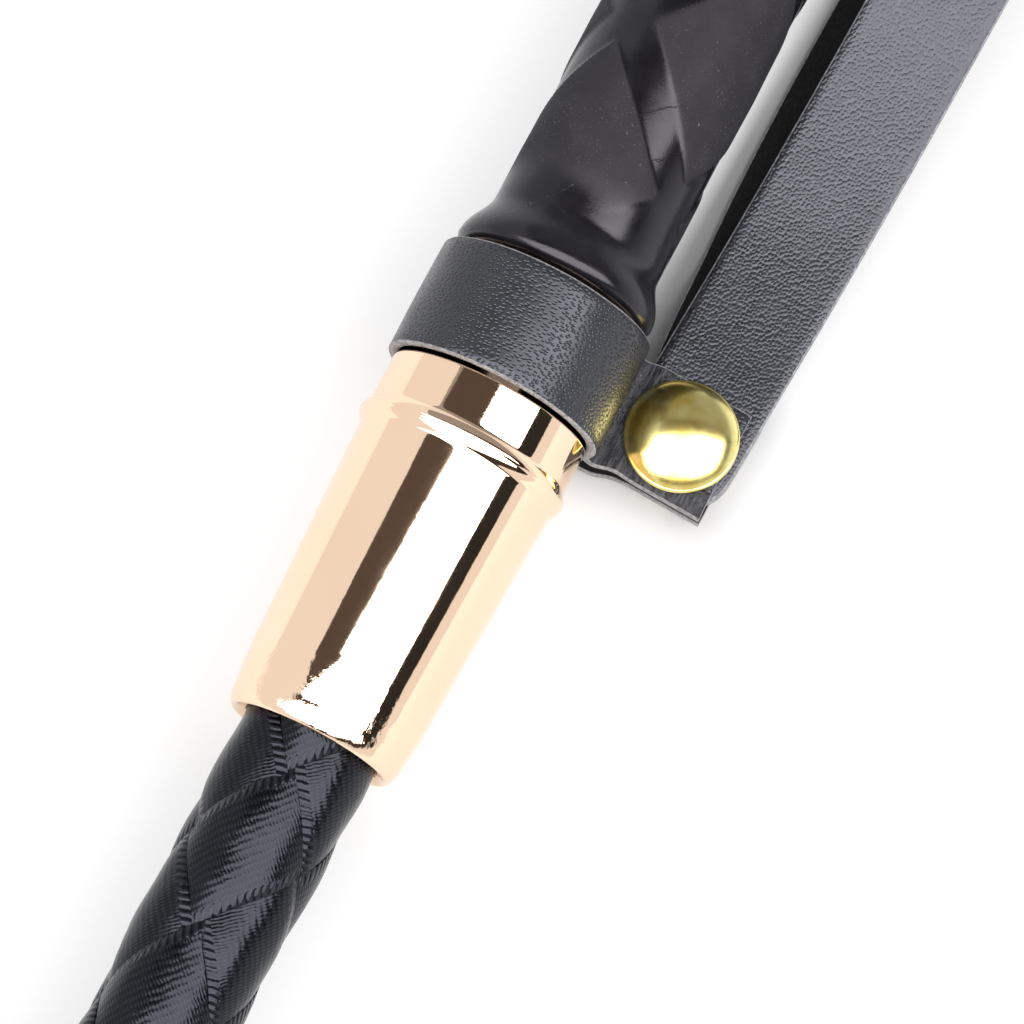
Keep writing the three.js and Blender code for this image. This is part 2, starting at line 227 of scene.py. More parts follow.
def dress(piece, body, finishes, replaced=()):
    """Rides a finished piece on its body, gives it its materials and hides the CAD nodes it stands for."""
    for finish in finishes:
        piece.data.materials.append(finish)
    if body:
        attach(piece, body)
    if replaced:
        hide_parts(*replaced)
    return piece


# ---- materials -----------------------------------------------------------------------------


class Finish:
    """A principled material, with short calls that add the nodes of its procedural detail."""

    def __init__(self, name, color, roughness, metallic=0.0, **sockets):
        self.material = bpy.data.materials.new(name)
        self.material.use_nodes = True
        self.tree = self.material.node_tree
        self.shader = self.tree.nodes["Principled BSDF"]
        self.shader.inputs["Base Color"].default_value = (*color, 1)
        self.shader.inputs["Roughness"].default_value = roughness
        self.shader.inputs["Metallic"].default_value = metallic
        for socket, value in sockets.items():
            self.shader.inputs[socket.replace("_", " ")].default_value = value
        self.height = None

    def add(self, kind, **inputs):
        """A new node whose inputs are set to values or linked to other nodes' outputs."""
        made = self.tree.nodes.new("ShaderNode" + kind)
        for key, value in inputs.items():
            place = int(key[1:]) if key[0] == "i" and key[1:].isdigit() else key.replace("_", " ")
            if isinstance(value, bpy.types.NodeSocket):
                self.tree.links.new(value, made.inputs[place])
            elif hasattr(made, key):
                setattr(made, key, value)
            else:
                made.inputs[place].default_value = value
        return made

    def where(self, source="Object", stretch=(1, 1, 1)):
        """Object or UV coordinates, stretched."""
        coordinates = self.add("TexCoord").outputs[source]
        return self.add("Mapping", Vector=coordinates, Scale=stretch).outputs["Vector"]

    def noise(self, size_mm, detail=3.0, place=None, roughness=0.5):
        """Cloudy noise from 0 to 1."""
        place = place or self.where()
        return self.add("TexNoise", Vector=place, Scale=1 / (size_mm * MM), Detail=detail,
                        Roughness=roughness).outputs["Fac"]

    def cells(self, size_mm, place, randomness=1.0):
        """Distance to the middle of the nearest cell, in cells."""
        return self.add("TexVoronoi", voronoi_dimensions="2D", Vector=place, Scale=1 / (size_mm * MM),
                        Randomness=randomness).outputs["Distance"]

    def ramp(self, value, low, high, low_to=0.0, high_to=1.0):
        """Maps value from the range low..high to low_to..high_to, held at both ends."""
        made = self.add("MapRange", Value=value)
        for place, number in zip((1, 2, 3, 4), (low, high, low_to, high_to)):
            made.inputs[place].default_value = number
        return made.outputs["Result"]

    def math(self, operation, a, b=0.0):
        """One step of arithmetic on values or other nodes' outputs."""
        return self.add("Math", operation=operation, i0=a, i1=b).outputs["Value"]

    def tint(self, share, light, dark):
        """Colours the surface between dark and light by a share from 0 to 1."""
        mixed = self.add("Mix", data_type="RGBA", Factor=share)
        mixed.inputs[6].default_value = (*dark, 1)
        mixed.inputs[7].default_value = (*light, 1)
        self.tree.links.new(mixed.outputs[2], self.shader.inputs["Base Color"])

    def gloss(self, value):
        """Sets the roughness from another node's output."""
        self.tree.links.new(value, self.shader.inputs["Roughness"])

    def bump(self, value, depth_mm):
        """Adds relief of the given depth on top of what is already there."""
        made = self.add("Bump", Height=value, Distance=depth_mm * MM, Strength=1.0)
        if self.height:
            self.tree.links.new(self.height, made.inputs["Normal"])
        self.height = made.outputs["Normal"]
        self.tree.links.new(self.height, self.shader.inputs["Normal"])


def leather_finish(name, shine, grain_mm, stretch, pebble_mm, dent_mm):
    """Black coated leather with grain of domed pebbles or short dents, and a crumpled crease lightened with a
    painted highlight.

    pebble_mm is how high each pebble's dome stands, and dent_mm how deep each dent is.
    """
    made = Finish(name, (0.016, 0.017, 0.023), 0.34, Specular_IOR_Level=shine)
    made.shader.inputs["Specular Tint"].default_value = (0.88, 0.9, 1.0, 1)
    pebbles = made.cells(grain_mm, made.where("UV", (stretch, 1, 1)), 0.8)
    made.bump(made.noise(5.0, 2), 0.08)
    made.bump(made.math("POWER", made.ramp(pebbles, 0.0, 0.7), 2.0), -pebble_mm)
    made.bump(made.ramp(pebbles, 0.1, 0.4), dent_mm)
    crease = made.add("Attribute", attribute_name="crease").outputs["Fac"]
    crumple = made.noise(0.42, 5, place=made.where("UV", (1, 0.14, 1)), roughness=0.7)
    # painted highlight: the crumpled crease is lightened in the base colour
    crease_highlight = made.math("MULTIPLY", made.ramp(crumple, 0.42, 0.62), crease)
    made.bump(made.math("MULTIPLY", crumple, crease), 0.8)
    made.gloss(made.ramp(made.noise(1.6, 4), 0.3, 0.7, 0.22, 0.34))
    surface = made.ramp(pebbles, 0.1, 0.55, 0.0, 0.13)
    # the light colour gives the grain's tone and the painted highlight on the crease
    made.tint(made.math("MAXIMUM", surface, crease_highlight), (0.2, 0.2, 0.22), (0.0095, 0.01, 0.0135))
    return made.material


def flesh_finish():
    """The leather's inner side: dull black fibres."""
    made = Finish("leather_flesh_side", (0.01, 0.01, 0.011), 0.9, Specular_IOR_Level=0.15)
    fibres = made.noise(0.25, 5, place=made.where("UV", (0.5, 1, 1)))
    made.tint(made.ramp(fibres, 0.35, 0.7), (0.014, 0.014, 0.016), (0.006, 0.006, 0.007))
    made.bump(fibres, 0.05)
    return made.material


def cut_edge_finish():
    """The strap's cut edge: grey fibres with darker layers."""
    made = Finish("leather_cut_edge", (0.2, 0.2, 0.21), 0.85)
    fibres = made.noise(0.3, 6)
    made.tint(made.ramp(fibres, 0.3, 0.62), (0.4, 0.395, 0.41), (0.13, 0.13, 0.14))
    made.bump(fibres, 0.08)
    return made.material


CRACKS = (-145.7, -151.3)  # where hair cracks cross the grip's channels, as x + CRACK_SLOPE * y in mm
CRACK_SLOPE = 1.08


def rubber_finish():
    """Matte moulded rubber with shinier channels, pale specks of dust and a few hair cracks."""
    made = Finish("grip_rubber", (0.02, 0.02, 0.024), 0.6, Specular_IOR_Level=0.33)
    made.shader.inputs["Specular Tint"].default_value = (0.97, 0.92, 1.0, 1)
    raised = made.add("Attribute", attribute_name="raised").outputs["Fac"]
    fine = made.ramp(made.noise(0.16, 2, roughness=0.6), 0.66, 0.72)
    coarse = made.ramp(made.noise(0.42, 1), 0.77, 0.8)
    patches = made.ramp(made.noise(6.0, 3), 0.35, 0.65, 0.15, 0.8)
    dust = made.math("MAXIMUM", made.math("MULTIPLY", fine, patches), coarse)
    dust = made.math("MULTIPLY", dust, made.ramp(raised, 0.2, 0.9, 0.12, 1.0))
    place = made.add("SeparateXYZ", Vector=made.where())
    wander = made.ramp(made.noise(0.9, 3), 0.3, 0.7, -0.3 * MM, 0.3 * MM)
    aslant = made.math("ADD", place.outputs["X"], made.math("MULTIPLY", place.outputs["Y"], CRACK_SLOPE))
    aslant = made.math("ADD", aslant, wander)
    gaps = [made.math("ABSOLUTE", made.math("SUBTRACT", aslant, station * MM)) for station in CRACKS]
    cut = made.ramp(made.math("MINIMUM", *gaps), 0.03 * MM, 0.1 * MM, 1.0, 0.0)
    crack = made.math("MULTIPLY", cut, made.ramp(raised, 0.0, 0.3, 1.0, 0.0))
    made.tint(made.math("MAXIMUM", dust, made.ramp(made.noise(2.5, 3), 0.4, 0.8, 0, 0.05)),
              (0.2, 0.19, 0.21), (0.0085, 0.008, 0.011))
    made.gloss(made.ramp(raised, 0.1, 0.9, 0.17, 0.8))
    made.bump(made.noise(0.14, 4), 0.012)
    made.bump(crack, -0.12)
    made.bump(made.noise(3.0, 3), 0.03)
    return made.material


def plated_finish():
    """Polished rose-gold plating: faint haze, small pits, and uneven near the ferrule's mouth."""
    made = Finish("rose_plating", (0.93, 0.68, 0.49), 0.05, metallic=1.0)
    station = made.add("SeparateXYZ", Vector=made.where()).outputs["X"]
    near_mouth = made.ramp(station, (MOUTH_X + 1.5) * MM, (MOUTH_X + 6.5) * MM, 1.0, 0.0)
    made.gloss(made.ramp(made.noise(6.0, 5), 0.35, 0.75, 0.035, 0.075))
    made.tint(made.noise(9.0, 3), (0.95, 0.715, 0.53), (0.92, 0.665, 0.475))
    made.bump(made.noise(5.0, 2), 0.012)
    made.bump(made.noise(0.6, 4), 0.0022)
    made.bump(made.math("MULTIPLY", made.noise(1.5, 5), near_mouth), 0.1)
    return made.material


def brass_finish():
    """Polished yellow brass, a little clouded."""
    made = Finish("rivet_brass", (0.83, 0.66, 0.2), 0.16, metallic=1.0)
    made.gloss(made.ramp(made.noise(0.9, 6, roughness=0.7), 0.3, 0.7, 0.2, 0.25))
    made.tint(made.ramp(made.noise(2.4, 5), 0.35, 0.62), (0.9, 0.8, 0.34), (0.74, 0.55, 0.13))
    made.bump(made.noise(1.6, 2), 0.008)
    return made.material


STITCH_LENGTH, STITCH_WIDTH = 0.3, 0.62  # pitch of the weave along and across the ribbon
SELVEDGE_FROM, SELVEDGE_TO = 3.75, 3.9  # where the weave gives way to the selvedge, off the middle
TOOTH_PITCH, TOOTH_SLANT = 0.7, 0.5


def ribbon_finish():
    """Black satin ribbon: rows of staggered weft stitches, and a selvedge with slanting teeth, both lightened
    with painted sheen.

    The stitches are sin(a + b) * sin(a - b), with a along the ribbon and b across it.
    """
    made = Finish("satin_ribbon", (0.009, 0.0095, 0.013), 0.3, Specular_IOR_Level=0.23)
    made.shader.inputs["Specular Tint"].default_value = (0.8, 0.86, 1.0, 1)
    place = made.add("UVMap", uv_map="along").outputs["UV"]
    parts = made.add("SeparateXYZ", Vector=place)
    wander = made.ramp(made.noise(1.2, 3), 0.3, 0.7, -0.09 * MM, 0.09 * MM)
    along = made.math("ADD", parts.outputs["X"], wander)
    across = made.math("ADD", parts.outputs["Y"], wander)

    def rows(value, pitch_mm):
        return made.math("SINE", made.math("MULTIPLY", value, 2 * np.pi / (pitch_mm * MM)))

    a, b = (made.math("MULTIPLY", value, 1 / pitch)
            for value, pitch in ((along, STITCH_LENGTH), (across, STITCH_WIDTH)))
    both, apart = made.math("ADD", a, b), made.math("SUBTRACT", a, b)
    stitches = made.math("MULTIPLY", rows(both, 2.0), rows(apart, 2.0))
    edge = made.ramp(made.math("ABSOLUTE", parts.outputs["Y"]), SELVEDGE_FROM * MM, SELVEDGE_TO * MM)
    body = made.math("SUBTRACT", 1.0, edge)
    slanting = made.math("ADD", along, made.math("MULTIPLY", parts.outputs["Y"], TOOTH_SLANT))
    teeth = made.math("MULTIPLY", rows(slanting, TOOTH_PITCH), edge)
    weave = made.math("MULTIPLY", stitches, body)
    made.bump(made.noise(2.2, 3), 0.11)
    made.bump(weave, 0.01)
    made.bump(teeth, 0.03)
    made.gloss(made.ramp(made.noise(1.4, 4), 0.3, 0.7, 0.16, 0.25))
    # painted sheen: stitches and selvedge teeth are lightened in the base colour
    light = made.math("MAXIMUM", made.ramp(teeth, 0.0, 0.8), made.ramp(weave, -0.1, 0.7, 0, 0.8))
    made.tint(light, (0.017, 0.018, 0.025), (0.0025, 0.0026, 0.0036))
    return made.material


def thread_finish():
    """Waxed black thread wound round and round."""
    made = Finish("binding_thread", (0.03, 0.03, 0.03), 0.6)
    turns = made.add("TexWave", Vector=made.where(), Scale=1 / (3.2 * MM), Distortion=0.3,
                     wave_type="BANDS", bands_direction="X").outputs["Fac"]
    made.bump(turns, 0.2)
    made.tint(turns, (0.05, 0.05, 0.052), (0.015, 0.015, 0.016))
    return made.material


def plain_finish(name, light, dark, roughness, size_mm, stretch=(1, 1, 1)):
    """A matte material clouded between two tones, for the parts inside."""
    made = Finish(name, light, roughness)
    cloud = made.noise(size_mm, 4, place=made.where(stretch=stretch))
    made.tint(cloud, light, dark)
    made.bump(cloud, 0.05)
    return made.material


LEATHER = leather_finish("black_leather", 0.48, 0.27, 0.75, 0.03, 0.0)
BAND_GRAIN = leather_finish("black_leather_dented", 0.42, 0.31, 0.66, 0.0, 0.045)
CUT_EDGE = cut_edge_finish()
FLESH = flesh_finish()
RUBBER = rubber_finish()
PLATING = plated_finish()
BRASS = brass_finish()
RIBBON = ribbon_finish()
THREAD = thread_finish()

# ---- braided shaft -------------------------------------------------------------------------

RIBBON_HALF_WIDTH = 4.8
RIBBON_THICK = 0.22
RIBBON_WAVE = 0.42  # how far a ribbon rises over, and dips under, the middle of the braid
RIBBON_CROWN = 0.3  # how far its edges fall below its middle where it lies on top
BRAID_MARK = (-214.9, np.radians(-1.5))  # a crossing where the rising ribbon lies on top
RISING_RATE, FALLING_RATE = np.radians(8.83), np.radians(7.5)  # turn per mm at the ferrule
BRAID_TIP_R = 4.7
BRAID_MOUTH_R = COVER_HIGH[2]
THIRD = 2 * np.pi / 3


def braid_radius(x):
    """The braid's outer radius: straight taper from the tip to the ferrule's mouth."""
    share = np.clip((x - COVER_LOW[0]) / (MOUTH_X - COVER_LOW[0]), 0, 1)
    return BRAID_TIP_R + (BRAID_MOUTH_R - BRAID_TIP_R) * share


def braid_turn_rate(x):
    """How fast the ribbons turn with x.

    Three ribbons side by side fill the circumference, so cos(slant) = 3 * width / circumference,
    and the rate is tan(slant) / radius.
    """
    radius = braid_radius(x)
    width = 2 * RIBBON_HALF_WIDTH * 0.99
    cos_slant = np.clip(width * 3 / (2 * np.pi * radius), 0.1, 0.985)
    return np.sqrt(1 / cos_slant**2 - 1) / radius


def running_sum(x, y):
    """The area under y up to each x, by trapezia."""
    return np.concatenate([[0], np.cumsum((y[1:] + y[:-1]) / 2 * np.diff(x))])


BRAID_X = np.linspace(COVER_LOW[0] - 2, COVER_HIGH[0] + 2, 4000)
TIGHTNESS = braid_turn_rate(BRAID_X) / braid_turn_rate(np.array([MOUTH_X]))
WOUND = running_sum(BRAID_X, TIGHTNESS)


def wound(x):
    """How far the ribbons have wound from the mark to station x, in mm of turning at the mouth's rate."""
    return np.interp(x, BRAID_X, WOUND) - np.interp(BRAID_MARK[0], BRAID_X, WOUND)


def ribbon(name, family, index):
    """One ribbon of the braid.

    Its centre line is a helix, turn = mark + index * 120 degrees +/- rate * wound(x). Across it,
    points step at right angles to the helix. Its height is a cosine of the distance to the
    ribbons that it crosses, so it goes over one and under the next, less a crown to the edges.
    """
    sign = 1 if family == "rising" else -1
    rate = RISING_RATE if family == "rising" else FALLING_RATE
    other = FALLING_RATE if family == "rising" else RISING_RATE
    x_mid = np.linspace(COVER_LOW[0] + 4, COVER_HIGH[0] - 4, 640)[:, None]
    radius = braid_radius(x_mid)
    slant = np.arctan(radius * rate * np.interp(x_mid, BRAID_X, TIGHTNESS))
    section, _, _ = strap_section(RIBBON_HALF_WIDTH, RIBBON_THICK, across=13, corner=0.06)
    w, h = section[:, 0], section[:, 1]
    x = x_mid - sign * w * np.sin(slant)
    turn = BRAID_MARK[1] + index * THIRD + sign * rate * wound(x_mid) + w * np.cos(slant) / radius
    crossing = (turn - BRAID_MARK[1] + sign * other * wound(x)) / THIRD
    wave = np.cos(np.pi * (crossing + index)) * sign
    middle = braid_radius(x) - RIBBON_WAVE - RIBBON_THICK / 2 - 0.02
    pinch = 0.07 * ripples(x, turn * 6, 6.0, 10 * index + (sign > 0), 9)
    share = w / RIBBON_HALF_WIDTH
    height = RIBBON_WAVE * wave - RIBBON_CROWN * share**4 * (0.5 + 0.5 * wave) + pinch + h
    points = ring_points(x, middle + height, turn)
    length = np.concatenate([[0], np.cumsum(np.diff(x_mid[:, 0]) / np.cos(slant[1:, 0]))])
    piece = grid_object(name, points, u=length, v=np.append(w, w[0]), capped=True)
    return dress(piece, "crop", [RIBBON])


ribbons = [ribbon(f"ribbon_{family}_{index + 1}", family, index)
           for family in ("rising", "falling") for index in range(3)]
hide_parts("braided_cover")

# ---- ferrules and butt cap -----------------------------------------------------------------


def rounded(cx, cr, rx, rr, start, end, steps=14):
    """An elliptical corner of a section, as (x, radius) pairs, from start to end degrees."""
    a = np.radians(np.linspace(start, end, steps))
    return [(cx + rx * np.cos(t), cr + rr * np.sin(t)) for t in a]


def ferrule():
    """Sleeve that widens in a cone to a raised bead, then a straight neck and the band's groove.

    With t the distance from the bead's middle in half widths and d = 1 - t^2, the bead rises by
    0.23 * (d + sqrt(d^2 + 0.01)), a dome whose foot runs out softly. Over the last 4 mm the mouth
    rolls in by a parabola.
    """
    bead_x, bead_half, bead_rise = -176.6, 1.05, 0.23
    mouth_r, bore_r, neck_bore_r, neck_bore_from = 8.1, 6.5, 7.7, -183
    neck_r, shoulder_r, groove_r = FERRULE_HIGH[2] - np.array([0.5, 0.62, 1.0])
    roll_length, roll_drop, lip_length, lip_drop = 4, 0.22, 2.0, 0.75
    cone_from = MOUTH_X + lip_length
    x = np.linspace(cone_from, BAND_LOW[0] - 0.35, 260)
    share = np.clip((x - cone_from) / (bead_x - bead_half - cone_from), 0, 1)
    taper = mouth_r + (shoulder_r - mouth_r) * share
    dome = 1 - ((x - bead_x) / bead_half) ** 2
    radius = np.where(x < bead_x, taper, neck_r) + bead_rise * (dome + np.sqrt(dome**2 + 0.01))
    radius -= roll_drop * np.clip((cone_from + roll_length - x) / roll_length, 0, 1) ** 2
    lip = rounded(cone_from, radius[0] - lip_drop, lip_length, lip_drop, 178, 92)
    outside = lip + list(zip(x, radius))
    step = [(BAND_LOW[0] - 0.25, neck_r - 0.12), (BAND_LOW[0] - 0.22, groove_r)]
    inside = [(FERRULE_HIGH[0], groove_r), (FERRULE_HIGH[0], neck_bore_r), (neck_bore_from, neck_bore_r),
              (neck_bore_from, bore_r), (MOUTH_X + 0.6, bore_r)]
    piece = turned_object("ferrule_sleeve", outside + step + inside)
    return dress(piece, "crop", [PLATING], ["ferrule"])


def tip_ferrule():
    """Short sleeve with a rolled lip at each end, and a smaller hole at the keeper's side."""
    low, high, r = TIP_LOW[0], TIP_HIGH[0], TIP_HIGH[2]
    bore_r, hole_r = 5.05, 4.2
    outside = rounded(low + 1.2, r - 0.9, 1.2, 0.9, 180, 90) + rounded(high - 0.6, r - 0.4, 0.6, 0.4, 90, 0)
    inside = [(high, bore_r), (low + 1, bore_r), (low + 1, hole_r), (low + 0.2, hole_r), (low, hole_r + 0.3)]
    piece = turned_object("tip_ferrule_sleeve", outside + inside)
    return dress(piece, "crop", [PLATING], ["tip_ferrule"])


def butt_cap():
    """Plated cup over the grip's end: straight skirt, round shoulder and flat end."""
    low, r, flat_r, crown = CAP_LOW[0], CAP_HIGH[2], 6.2, 3.4
    end_wall, bore_r = 1.8, 8.25
    outside = [(low + 1.4, bore_r)] + rounded(low + 0.5, r - 0.5, 0.5, 0.5, 180, 90, 8)
    outside += rounded(low + 2.4, r - 0.28, 0.35, 0.28, 180, 0, 12)
    outside += rounded(-crown, flat_r, crown, crown, 90, 0, 24)
    profile = np.array([(-end_wall, 0.0), (-end_wall, bore_r)] + outside + [(0.0, 0.0)])
    turn = np.linspace(0, 2 * np.pi, 192, endpoint=False)
    piece = grid_object("butt_cap_shell", ring_points(profile[:, :1], profile[:, 1:], turn))
    return dress(piece, "crop", [PLATING], ["butt_cap"])


ferrule()
tip_ferrule()
butt_cap()

# ---- rubber grip ---------------------------------------------------------------------------

GRIP_R = 7.9
CHANNEL_DEPTH = 0.2
CHANNEL_HALF = 1.85
CHANNEL_STEP = np.pi  # two channels wind each way
GRIP_RATE = np.radians(6.65)  # turn of the helical channels per mm
GRIP_MARK = (-136.7, np.radians(-33))  # a crossing of two channels


def grip():
    """Moulded sleeve: its radius is the grip's, lowered by smooth-edged helical channels.

    The distance to the nearest channel is the turn left over from half circles, times the
    radius and the cosine of the slant. The relief fades out towards the flare at the band.
    """
    lip_length, bore_r = 1.2, 5.75
    x = np.linspace(GRIP_LOW[0] + lip_length, GRIP_HIGH[0], 430)[:, None]
    turn = np.linspace(0, 2 * np.pi, 168, endpoint=False)[None, :]
    slant = np.arctan(GRIP_R * GRIP_RATE)
    spacing = CHANNEL_STEP * GRIP_R * np.cos(slant)

    def gap_to(sign):
        share = (turn - GRIP_MARK[1] - sign * GRIP_RATE * (x - GRIP_MARK[0])) / CHANNEL_STEP
        return np.abs(share - np.round(share)) * spacing

    nearest = np.minimum(gap_to(1), gap_to(-1))
    raised = smooth((nearest - CHANNEL_HALF + 0.2) / 0.4)
    from_band = x - GRIP_LOW[0]
    fade = smooth((from_band - 5.5) / 5.0)
    relief = CHANNEL_DEPTH * (1 - raised) * fade
    flare = (GRIP_HIGH[2] - GRIP_R) * (1 - smooth((from_band - lip_length) / 3.8))
    crown = 0.05 * smooth((nearest - CHANNEL_HALF) / 4.5) * fade
    radius = GRIP_R - 0.08 - relief + crown + flare + 0.02 * ripples(x, turn * GRIP_R, 9.0, 40)
    outer = ring_points(x, radius, turn)
    lip = rounded(GRIP_LOW[0] + lip_length, GRIP_HIGH[2] - 1.3, lip_length, 1.25, 180, 100, 7)
    lip_x, lip_r = np.array(lip).T[:, :, None]
    front = ring_points(lip_x, lip_r, turn)
    bore = ring_points(np.array([[GRIP_HIGH[0]], [GRIP_LOW[0]]]), bore_r, turn)
    points = np.concatenate([front, outer, bore])
    piece = grid_object("grip_sleeve", points, wrap_rows=True)
    shares = np.zeros(points.shape[:2])
    shares[len(front):len(front) + len(outer)] = raised * fade
    attribute = piece.data.attributes.new("raised", "FLOAT", "POINT")
    attribute.data.foreach_set("value", shares.ravel())
    return dress(piece, "crop", [RUBBER], ["rubber_grip"])


grip()

# ---- neck band and rivet -------------------------------------------------------------------

BAND_LEATHER = 0.9
BAND_RING_R = BAND_HIGH[2] - BAND_LEATHER / 2
UPPER_PLY_Z = ROOT_UP_HIGH[2] + 0.15 + BAND_LEATHER / 2
LOWER_PLY_Z = BASE_HIGH[2] + 0.15 + BAND_LEATHER / 2
TAB_END_U = -BAND_LOW[1]


def band_line():
    """The band's midline in the u-z plane: upper ply, bend, ring round the neck, bend, lower ply."""
    upper_bend, lower_bend = 1.7, 2.0

    def bend_centre(z, r):
        return np.array([np.sqrt((BAND_RING_R + r) ** 2 - z**2), z])

    upper = bend_centre(UPPER_PLY_Z + upper_bend, upper_bend)
    lower = bend_centre(LOWER_PLY_Z - lower_bend, lower_bend)
    upper_at, lower_at = np.arctan2(upper[1], upper[0]), np.arctan2(lower[1], lower[0])

    def arc(centre, r, start, end, steps):
        a = np.linspace(start, end, steps)
        return np.stack([centre[0] + r * np.cos(a), centre[1] + r * np.sin(a)], 1)

    out = np.linspace(TAB_END_U - 0.15, upper[0], 26)[:-1]
    back = np.linspace(lower[0], TAB_END_U - 0.15, 34)[1:]
    return np.concatenate([
        np.stack([out, np.full_like(out, UPPER_PLY_Z)], 1),
        arc(upper, upper_bend, 1.5 * np.pi, np.pi + upper_at, 9),
        arc((0, 0), BAND_RING_R, upper_at, 2 * np.pi + lower_at, 110)[1:-1],
        arc(lower, lower_bend, np.pi + lower_at, 0.5 * np.pi, 9),
        np.stack([back, np.full_like(back, LOWER_PLY_Z)], 1),
    ])


def neck_band():
    """The leather band, as a strap carried round the neck and pinched into a two-ply tab."""
    line = band_line()
    centre_x = (BAND_LOW[0] + BAND_HIGH[0]) / 2
    path = np.stack([np.full(len(line), centre_x), -line[:, 0], line[:, 1]], 1)
    on_tab = smooth((line[:, 0] - 9.5) / 3) * (line[:, 1] < 0)
    half = (BAND_HIGH[0] - BAND_LOW[0]) / 2 - 0.1 - 0.12 * on_tab

    def lift(s, w):
        """Slow waves round the ring and fine creases where the upper ply turns up to it."""
        u = np.interp(s, path_frames(path)[1], line[:, 0])
        z = np.interp(s, path_frames(path)[1], line[:, 1])
        crease = np.exp(-((u - 11.0) / 0.8) ** 2) * (z < -2) * (z > -6.9)
        level = smooth((u - 9.5) / 1.5) * (z < -1)
        return 0.035 * (1 - level) * ripples(s, w, 6.0, 70) + 0.05 * crease * ripples(s * 0.2, w, 1.6, 71)

    def shape_tab(points):
        """Leans the tab a few degrees towards the shaft and pinches its near edge's plies together."""
        x, u, z = points[..., 0], -points[..., 1], points[..., 2]
        out = smooth((u - 9.2) / 2.5) * (z < -1)
        near = smooth((centre_x - 3.8 - x) / 1.4) * smooth((u - 10.5) / 3)
        upper = z > (UPPER_PLY_Z + LOWER_PLY_Z) / 2
        points[..., 2] += out * near * np.where(upper, -0.9, 0.45)
        points[..., 0] -= out * 0.06 * (u - 18.5)
        return points

    piece = strap_object("neck_band_leather", path, (1.0, 0.0, 0.0), half, BAND_LEATHER, lift, shape_tab)
    places = np.empty(len(piece.data.vertices) * 3)
    piece.data.vertices.foreach_get("co", places)
    x, y, z = places.reshape(-1, 3).T / MM
    on_top = (z < -1.5) * (z > UPPER_PLY_Z - 1.8)
    near_edge = smooth((centre_x - 2.6 - x) / 1.5) * smooth((-y - 11) / 2)
    # this mask also places the painted highlight on the crease and the tab's sloped edge
    crushed = np.clip(np.exp(-((-y - 10.9) / 1.0) ** 2) + 0.7 * near_edge, 0, 1) * on_top
    piece.data.attributes.new("crease", "FLOAT", "POINT").data.foreach_set("value", crushed)
    return dress(piece, "band", [FLESH, CUT_EDGE, BAND_GRAIN], ["neck_band"])


def rivet():
    """Domed cap: a rolled rim, a round shoulder and a shallow top.

    With q = r / R, its height is z = rim + rise * (1 - 0.85 q^2 - 0.15 q^9).
    """
    centre = (RIVET_X, -RIVET_U)
    r, post_r = 4.98, 1.45
    base_z, top_z = UPPER_PLY_Z + BAND_LEATHER / 2 + 0.03, RIVET_HIGH[2]
    rim = rounded(r - 0.32, base_z + 0.34, 0.32, 0.34, -90, 60, 14)
    dome_r = np.linspace(rim[-1][0], 0.02, 60)
    rise = top_z - rim[-1][1]
    q = dome_r / rim[-1][0]
    dome = list(zip(dome_r, rim[-1][1] + rise * (1 - 0.85 * q**2 - 0.15 * q**9)))
    post = [(0.02, RIVET_LOW[2]), (post_r, RIVET_LOW[2]), (post_r, base_z)]
    cap = upright_object("rivet_cap_dome", post + rim + dome, centre)
    dress(cap, "band", [BRASS], ["rivet_cap"])
    low, high, base_r = BASE_LOW[2], BASE_HIGH[2], (BASE_HIGH[0] - BASE_LOW[0]) / 2
    flat = [(0.02, low)] + rounded(base_r - 0.8, low + 0.5, 0.8, 0.5, -90, 0, 12)
    foot = upright_object("rivet_base_cap", flat + [(base_r, high), (0.02, high)], centre)
    dress(foot, "band", [BRASS], ["rivet_base"])


neck_band()
rivet()

# ---- wrist loop ----------------------------------------------------------------------------

STRAP_LEATHER = 0.8
UPPER_ROLL = np.radians(-3)  # the upper leg's lean away from the crop
STRAP_HALF = 5.4
LIFT_HINGE = HINGES["loop_lift"]
STRAP_DIRECTION = np.array([LIFT_HINGE[0] - RIVET_X, LIFT_HINGE[1] + RIVET_U])
STRAP_DIRECTION = STRAP_DIRECTION / np.hypot(*STRAP_DIRECTION)
STRAP_SIDE = np.array([-STRAP_DIRECTION[1], STRAP_DIRECTION[0]])
LOOP_END = BEND_HIGH[0] - RIVET_X
STRAP_START, STRAP_REACH = -4.6, 4.75  # where the strap is drawn from, and how far its round end reaches
LANDING, TAKE_OFF = 17, 8  # the lower leg comes up from the ground between these distances


